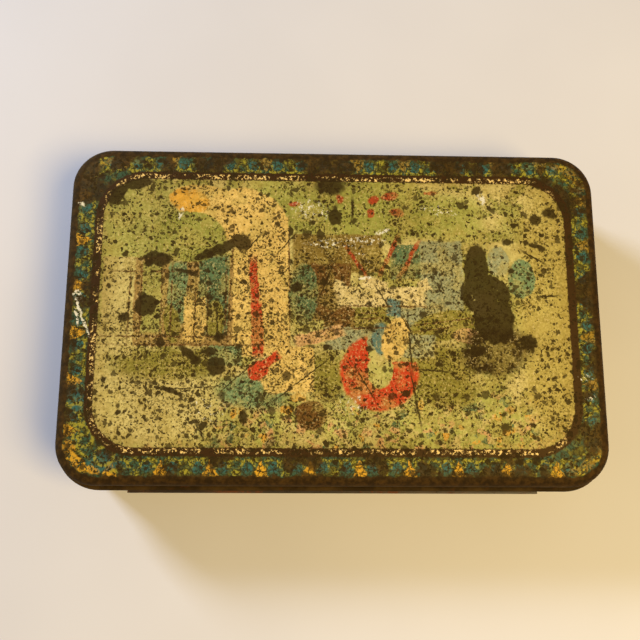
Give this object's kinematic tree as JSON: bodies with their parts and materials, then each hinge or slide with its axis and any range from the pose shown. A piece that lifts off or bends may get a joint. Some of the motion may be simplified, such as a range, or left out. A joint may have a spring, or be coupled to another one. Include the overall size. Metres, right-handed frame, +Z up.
{
  "type": "art supply box",
  "caption": "Hinged tinplate paint box with a slip-over lid, a lift-out tray of paint pans, a mixing palette and brushes.",
  "frame": {"origin": "on the table, under the middle of the closed box", "axes": "+Z up, +X to the right along the long side, -Y towards the front with the thumb lip, +Y towards the hinge"},
  "size_m": [0.2438, 0.1569, 0.045],
  "materials": {
    "printed_tin": "worn printed tinplate, rust at the edges",
    "steel_wire": "dull drawn wire",
    "rusty_tin": "dark rusty tinplate",
    "japanned_tin": "dark brown varnish over tinplate, rubbed at the edges",
    "hinge_steel": "tarnished steel strip",
    "rivet_steel": "tarnished rivet heads",
    "tray_enamel": "aged cream enamel, paint-stained",
    "palette_enamel": "white enamel, paint-stained",
    "pan_tin": "white enamelled pans",
    "paint_white": "dry watercolour cake, matt and worn hollow",
    "paint_yellow": "dry watercolour cake, matt and worn hollow",
    "paint_orange": "dry watercolour cake, matt and worn hollow",
    "paint_vermilion": "dry watercolour cake, matt and worn hollow",
    "paint_crimson": "dry watercolour cake, matt and worn hollow",
    "paint_violet": "dry watercolour cake, matt and worn hollow",
    "paint_ultramarine": "dry watercolour cake, matt and worn hollow",
    "paint_turquoise": "dry watercolour cake, matt and worn hollow",
    "paint_leaf_green": "dry watercolour cake, matt and worn hollow",
    "paint_dark_green": "dry watercolour cake, matt and worn hollow",
    "paint_sienna": "dry watercolour cake, matt and worn hollow",
    "paint_black": "dry watercolour cake, matt and worn hollow",
    "brush_wood": "lacquered wood, chipped",
    "ferrule_brass": "tarnished brass",
    "brush_hair": "soft brown hair, tapered to a point"
  },
  "bodies": {
    "box": {"body_wall": "japanned_tin", "bottom_panel": "rusty_tin", "hinge_strap_left": "hinge_steel", "hinge_strap_right": "hinge_steel", "hinge_rivets": "rivet_steel", "tray": "tray_enamel", "trough_divider": "tray_enamel", "pan_rack": "tray_enamel", "mixing_palette": "palette_enamel", "pan_1": "pan_tin", "pan_2": "pan_tin", "pan_3": "pan_tin", "pan_4": "pan_tin", "pan_5": "pan_tin", "pan_6": "pan_tin", "pan_7": "pan_tin", "pan_8": "pan_tin", "pan_9": "pan_tin", "pan_10": "pan_tin", "pan_11": "pan_tin", "pan_12": "pan_tin", "cake_1": "paint_white", "cake_2": "paint_yellow", "cake_3": "paint_orange", "cake_4": "paint_vermilion", "cake_5": "paint_crimson", "cake_6": "paint_violet", "cake_7": "paint_ultramarine", "cake_8": "paint_turquoise", "cake_9": "paint_leaf_green", "cake_10": "paint_dark_green", "cake_11": "paint_sienna", "cake_12": "paint_black", "brush_handle_1": "brush_wood", "brush_ferrule_1": "ferrule_brass", "brush_hair_1": "brush_hair", "brush_handle_2": "brush_wood", "brush_ferrule_2": "ferrule_brass", "brush_hair_2": "brush_hair"},
    "lid": {"lid_shell": "printed_tin", "lid_wire": "steel_wire", "thumb_lip": "rusty_tin"}
  },
  "joints": [
    {"name": "lid_hinge", "type": "hinge", "parent": "box", "child": "lid", "pos_m": [0, 0.0767, 0.0322], "axis": [-1, 0, 0], "range_deg": [0, 180]}
  ]
}
